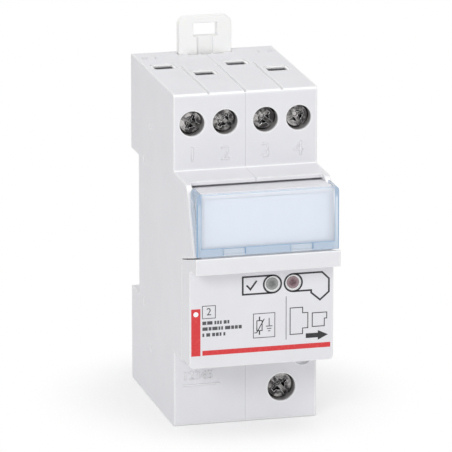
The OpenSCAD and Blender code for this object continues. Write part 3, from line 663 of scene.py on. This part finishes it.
faceLook = {
    "front": -51.5,
    "ink": 0.03,
    "recess": 0.4,
    "ringRadius": 2.17,
    "ringWidth": 0.42,
    "whiteRadius": 1.72,
    "whiteWidth": 0.38,
    "thinLine": 0.16,
    "tabSide": -4.65,
    "tick": ((-3.7, -2.5), (-2.75, -3.6), (-1.2, -1.5)),
    "tickWidth": 0.42,
    "pointerLeft": 12.3,
    "pointerRight": 16.7,
    "pointerChamfer": 1.7,
    "pointerShoulder": -5.4,
    "pointerTip": -7.3,
    "redBand": (-17.35, -19.3, -15.1, -7.6),
    "bandDot": (-16.22, -8.9, 0.62),
    "redBar": (-14.6, -19.25, 17.1, -18.05),
    "box": (-14.6, -10.05, -11.4, -6.95),
    "boxNumber": {"text": "2", "x": -13.0, "z": -8.5, "size": 2.6},
    "arrowShaft": ((11.0, -16.1), (14.0, -16.1)),
    "arrowHead": ((14.0, -17.3), (16.5, -16.1), (14.0, -14.9)),
    "arrowWidth": 1.15,
}

# Rows of short bars in place of small print
rowLook = {
    "left": -14.6,
    "rows": ((-11.2, -7.9), (-12.65, -4.9), (-14.15, -8.8)),
    "halfHeight": 0.42,
    "shortest": 0.5,
    "lengths": (0.45, 0.7, 0.95, 1.3),
    "gaps": (0.22, 0.22, 0.5),
}

# Plain symbols: the ink, then each line by its points, its width and whether it closes
symbolLook = {
    "symbolFrame": (greyInk, [(rectangle(-2.0, -15.75, 3.3, -9.75), 0.16, True)]),
    "symbolLead": (blackInk, [
        ([(-0.5, -10.5), (-0.5, -11.5)], 0.3, False),
        ([(-0.5, -14.0), (-0.5, -15.0)], 0.3, False),
        (rectangle(-1.15, -14.0, 0.15, -11.5), 0.2, True),
    ]),
    "symbolSlash": (blackInk, [([(-1.75, -14.5), (-1.2, -14.5), (0.7, -11.1)], 0.2, False)]),
    "symbolEarth": (greyInk, [
        ([(1.9, -11.0), (1.9, -12.9)], 0.2, False),
        ([(1.1, -13.0), (2.7, -13.0)], 0.2, False),
        ([(1.35, -13.6), (2.45, -13.6)], 0.2, False),
        ([(1.6, -14.2), (2.2, -14.2)], 0.2, False),
    ]),
    "guidePanel": (greyInk, [([(6.1, -5.9), (6.1, -16.7)], 0.14, False)]),
    "guideCase": (blackInk, [([
        (7.1, -8.9), (10.2, -8.9), (10.2, -10.3), (11.5, -10.3),
        (11.5, -14.1), (10.2, -14.1), (10.2, -15.5), (7.1, -15.5),
    ], 0.2, True)]),
    "guideCartridge": (blackInk, [([
        (12.6, -10.5), (16.2, -10.5), (16.2, -12.0), (15.6, -12.0), (15.6, -13.9), (12.6, -13.9),
    ], 0.2, True)]),
}


def plainRows():
    random.seed(7)
    half = rowLook["halfHeight"]
    rows = []
    for z, end in rowLook["rows"]:
        x = rowLook["left"]
        while x < end - rowLook["shortest"]:
            length = min(random.choice(rowLook["lengths"]), end - x)
            rows.append(rectangle(x, z - half, x + length, z + half))
            x += length + random.choice(rowLook["gaps"])
    return rows


def facePrint():
    look = faceLook
    front, height, radius, width = look["front"], look["ink"], look["ringRadius"], look["ringWidth"]
    green = (greenPlace[0] / mm, greenPlace[1] / mm)
    red = (redPlace[0] / mm, redPlace[1] / mm)
    top, bottom = green[1] + radius, green[1] - radius

    def put(name, shapes, finish, level=front, height=height):
        return mark(name, shapes, level, height, finish, "cartridge")

    put("lensRings", ring(*green, radius, width) + ring(*red, radius, width), blackInk)
    inner = (look["whiteRadius"], look["whiteWidth"])
    put("lensSurrounds", ring(*green, *inner) + ring(*red, *inner), whiteInk, front + look["recess"])
    tab = [(green[0], top), (look["tabSide"], top), (look["tabSide"], bottom), (green[0], bottom)]
    put("goodTab", stroke(tab, width), blackInk)
    put("goodTick", stroke(look["tick"], look["tickWidth"]), blackInk)
    left, right, chamfer = look["pointerLeft"], look["pointerRight"], look["pointerChamfer"]
    shoulder, tip = look["pointerShoulder"], look["pointerTip"]
    pointer = [(red[0], top), (right - chamfer, top), (right, top - chamfer), (right, shoulder)]
    pointer += [((left + right) / 2, tip), (left, shoulder), (left, bottom), (red[0], bottom)]
    put("faultPointer", stroke(pointer, width), blackInk)
    put("redBand", [rectangle(*look["redBand"])], redInk)
    put("redBar", [rectangle(*look["redBar"])], redInk)
    put("bandDot", disc(*look["bandDot"]), whiteInk, front - height, height / 2)
    put("classBox", stroke(rectangle(*look["box"]), look["thinLine"], True), greyInk)
    plain = look["boxNumber"]
    number("classNumber", plain["text"], plain["x"], plain["z"], plain["size"], front, height,
           blackInk, "cartridge")
    put("plainRows", plainRows(), greyInk)
    for name, (shade, lines) in symbolLook.items():
        put(name, [shape for line in lines for shape in stroke(*line)], shade)
    shaft = stroke(look["arrowShaft"], look["arrowWidth"])
    put("guideArrow", shaft + [look["arrowHead"]], blackInk)


facePrint()

print("moulded numbers")

numberLook = {"size": 5.2, "front": -36.0, "height": 0.14, "z": 26.4}
for i in range(4):
    middle = wellLook["places"][i][0] / mm
    number(f"terminalNumber{i + 1}", str(i + 1), middle, numberLook["z"], numberLook["size"],
           numberLook["front"], numberLook["height"], casePlastic, "case")

serialLook = {
    "text": "12345",
    "x": -11.95,
    "z": -28.95,
    "size": 3.1,
    "front": -36.0,
    "height": 0.22,
    "line": ((-15.7, -31.2), (-6.4, -31.2)),
    "lineWidth": 0.35,
}
number("serialNumber", serialLook["text"], serialLook["x"], serialLook["z"], serialLook["size"],
       serialLook["front"], serialLook["height"], casePlastic, "case")
mark("serialLine", stroke(serialLook["line"], serialLook["lineWidth"]), serialLook["front"],
     serialLook["height"], casePlastic, "case")

# Small raised signs at the rear corners of the top
topLook = {
    "level": 41.5,
    "height": 0.12,
    "y": 2.0,
    "size": 0.75,
    "width": 0.32,
    "rings": (-15.8, 16.1),
    "bars": (-13.0, 13.1),
}
signs = []
for x in topLook["rings"]:
    signs += ring(x, topLook["y"], topLook["size"] - topLook["width"] / 2, topLook["width"])
for x in topLook["bars"]:
    ends = [(x, topLook["y"] - topLook["size"]), (x, topLook["y"] + topLook["size"])]
    signs += stroke(ends, topLook["width"])
mark("topSigns", signs, topLook["level"], topLook["height"], casePlastic, "case", onTop=True)

print("floor and light")


floorLook = {
    "colour": (250, 250, 250),
    "roughness": 0.9,
    "halfSize": 6.0,
    "gap": 0.05 * mm,  # below the case's lower end, so that the two faces don't fight
    "shadowPlace": -0.014,
    "shadowReach": (0.022, 0.05),
    "leastGlow": 0.4,
}


# The floor shows white to the camera, and keeps the shadow close to the object
def paleFloor():
    finish = newFinish("paleFloor")
    paper = finish.add("BsdfPrincipled", sockets={
        "Base Color": tone(*floorLook["colour"]), "Roughness": floorLook["roughness"],
    })
    glow = finish.add("Emission", sockets={"Color": (1, 1, 1, 1), "Strength": 1.0})
    along, deep, _ = finish.parts()
    deep = deep - floorLook["shadowPlace"]
    away = (along * along + deep * deep).root().between(*floorLook["shadowReach"])
    seen = finish.add("LightPath", output="Is Camera Ray")
    least = floorLook["leastGlow"]
    share = (away * (1 - least) + least) * seen
    blend = finish.add("MixShader", sockets={0: share, 1: paper, 2: glow})
    finish.add("OutputMaterial", sockets={"Surface": blend})
    size = floorLook["halfSize"]
    z = cadBox[0][2] - floorLook["gap"]
    corners = [(-size, -size, z), (size, -size, z), (size, size, z), (-size, size, z)]
    data = bpy.data.meshes.new("floor")
    data.from_pydata(corners, [], [(0, 1, 2, 3)])
    data.materials.append(finish.owner)
    floor = bpy.data.objects.new("floor", data)
    bpy.context.scene.collection.objects.link(floor)


skyLook = {"fill": 0.58}


# White to the camera, in metal and through glass, and a soft fill for all else
def studioSky():
    finish = Finish(bpy.data.worlds.new("studio"))
    bpy.context.scene.world = finish.owner
    seen = finish.add("LightPath", output="Is Camera Ray")
    clear = seen.larger(seen.beside("Is Glossy Ray")).larger(seen.beside("Is Transmission Ray"))
    strength = skyLook["fill"] + clear * (1 - skyLook["fill"])
    sky = finish.add("Background", sockets={"Color": (1, 1, 1, 1), "Strength": strength})
    finish.add("OutputWorld", sockets={"Surface": sky})


lampLook = {
    "key": {"place": (-0.46, -0.66, 0.4), "size": 0.28, "power": 2.1},
    "side": {"place": (0.6, -0.6, 0.2), "size": 0.5, "power": 0.7},
    "top": {"place": (0.05, -0.1, 0.8), "size": 0.5, "power": 1.5},
}


def lamps():
    for name, look in lampLook.items():
        data = bpy.data.lights.new(name, "AREA")
        data.size = look["size"]
        data.energy = look["power"]
        lamp = bpy.data.objects.new(name, data)
        bpy.context.scene.collection.objects.link(lamp)
        lamp.location = look["place"]
        lamp.rotation_euler = (-Vector(look["place"])).to_track_quat("-Z", "Y").to_euler()


cameraLook = {
    "place": (-0.3356, -1.3361, 0.3734),
    "yaw": -14.274,
    "pitch": 15.228,
    "lens": 459.2,
    "sensor": 36.0,
    "clip": (0.05, 20),
}


def camera():
    data = bpy.data.cameras.new("camera")
    data.sensor_width = cameraLook["sensor"]
    data.lens = cameraLook["lens"]
    data.clip_start, data.clip_end = cameraLook["clip"]
    eye = bpy.data.objects.new("camera", data)
    bpy.context.scene.collection.objects.link(eye)
    eye.location = cameraLook["place"]
    eye.rotation_euler = (math.radians(90 - cameraLook["pitch"]), 0, math.radians(cameraLook["yaw"]))
    bpy.context.scene.camera = eye


paleFloor()
studioSky()
lamps()
camera()
bpy.context.scene.view_settings.view_transform = "Standard"
